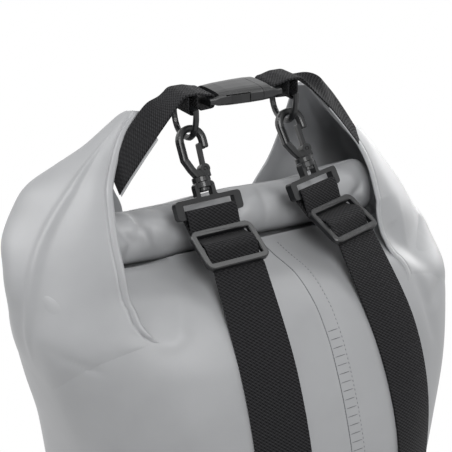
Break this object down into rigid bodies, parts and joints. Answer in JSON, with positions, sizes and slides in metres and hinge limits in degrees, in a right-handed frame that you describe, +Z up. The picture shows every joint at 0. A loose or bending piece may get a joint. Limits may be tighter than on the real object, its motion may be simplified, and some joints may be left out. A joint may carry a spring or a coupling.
{
  "type": "roll-top dry bag",
  "caption": "Roll-top dry bag in coated fabric with a side-release buckle carry handle, D-rings, swivel snap hooks and adjustable shoulder straps.",
  "frame": {"origin": "middle of the base panel's underside, on the floor", "axes": "+Z up the bag, X along the rolled top and the buckle, -Y towards the side with the straps"},
  "size_m": [0.314, 0.266, 0.607],
  "materials": {
    "tarpaulin": "satin coated tarpaulin",
    "seam_tape": "welded coated tape",
    "webbing": "woven polyester webbing",
    "nylon": "satin moulded nylon",
    "stiffener": "matt plastic strip"
  },
  "bodies": {
    "bag": {"bag_tube": "tarpaulin", "base_panel": "tarpaulin", "base_weld_band": "tarpaulin", "rolled_hem": "tarpaulin", "hem_stiffener": "stiffener", "seam_tape": "seam_tape", "buckle_socket": "nylon", "buckle_plug": "nylon", "handle_webbing_left": "webbing", "d_ring_tab_left": "webbing", "swivel_fixture_left": "nylon", "strap_loop_left": "webbing", "shoulder_strap_left": "webbing", "strap_patch_left": "seam_tape", "handle_webbing_right": "webbing", "d_ring_tab_right": "webbing", "swivel_fixture_right": "nylon", "strap_loop_right": "webbing", "shoulder_strap_right": "webbing", "strap_patch_right": "seam_tape"},
    "ring_left": {"d_ring_left": "nylon"},
    "hook_left": {"snap_hook_left": "nylon"},
    "gate_left": {"hook_gate_left": "nylon"},
    "slider_left": {"strap_slider_left": "nylon"},
    "ring_right": {"d_ring_right": "nylon"},
    "hook_right": {"snap_hook_right": "nylon"},
    "gate_right": {"hook_gate_right": "nylon"},
    "slider_right": {"strap_slider_right": "nylon"},
    "prong_front": {"buckle_prong_front": "nylon"},
    "prong_back": {"buckle_prong_back": "nylon"}
  },
  "joints": [
    {"name": "d_ring_left_swing", "type": "hinge", "parent": "bag", "child": "ring_left", "pos_m": [-0.038, 0, 0.596], "axis": [0, 1, 0], "range_deg": [-4, 4]},
    {"name": "hook_left_swivel", "type": "hinge", "parent": "bag", "child": "hook_left", "pos_m": [-0.03734, -0.01966, 0.55236], "axis": [-0.0246, 0.4688, 0.8829], "range_deg": [-15, 15]},
    {"name": "gate_left_spring", "type": "hinge", "parent": "hook_left", "child": "gate_left", "pos_m": [-0.03386, -0.01729, 0.55687], "axis": [-0.0061, -0.8833, 0.4688], "range_deg": [0, 18], "stiffness_Nm_per_rad": 0.02, "springref_deg": -5.73},
    {"name": "slider_left_slide", "type": "slide", "parent": "bag", "child": "slider_left", "axis": [-0.0444, 0.8469, 0.5299], "range_m": [0, 0.008], "deforming": ["strap_loop_left"]},
    {"name": "d_ring_right_swing", "type": "hinge", "parent": "bag", "child": "ring_right", "pos_m": [0.038, 0, 0.596], "axis": [0, 1, 0], "range_deg": [-4, 4]},
    {"name": "hook_right_swivel", "type": "hinge", "parent": "bag", "child": "hook_right", "pos_m": [0.04233, -0.01891, 0.55236], "axis": [-0.1606, 0.4412, 0.8829], "range_deg": [-15, 15]},
    {"name": "gate_right_spring", "type": "hinge", "parent": "hook_right", "child": "gate_right", "pos_m": [0.04508, -0.01657, 0.55736], "axis": [-0.0376, -0.8966, 0.4412], "range_deg": [0, 18], "stiffness_Nm_per_rad": 0.02, "springref_deg": -5.73},
    {"name": "slider_right_slide", "type": "slide", "parent": "bag", "child": "slider_right", "axis": [-0.29, 0.7969, 0.5299], "range_m": [0, 0.008], "deforming": ["strap_loop_right"]},
    {"name": "prong_front_squeeze", "type": "hinge", "parent": "bag", "child": "prong_front", "pos_m": [0.01015, -0.01255, 0.6], "axis": [0, 0, -1], "range_deg": [0, 7], "stiffness_Nm_per_rad": 0.5, "springref_deg": -2.86},
    {"name": "prong_back_squeeze", "type": "hinge", "parent": "bag", "child": "prong_back", "pos_m": [0.01015, 0.01255, 0.6], "axis": [0, 0, 1], "range_deg": [0, 7], "stiffness_Nm_per_rad": 0.5, "springref_deg": -2.86}
  ],
  "couplings": [
    {"joint": "prong_back_squeeze", "follows": "prong_front_squeeze", "ratio": 1}
  ]
}
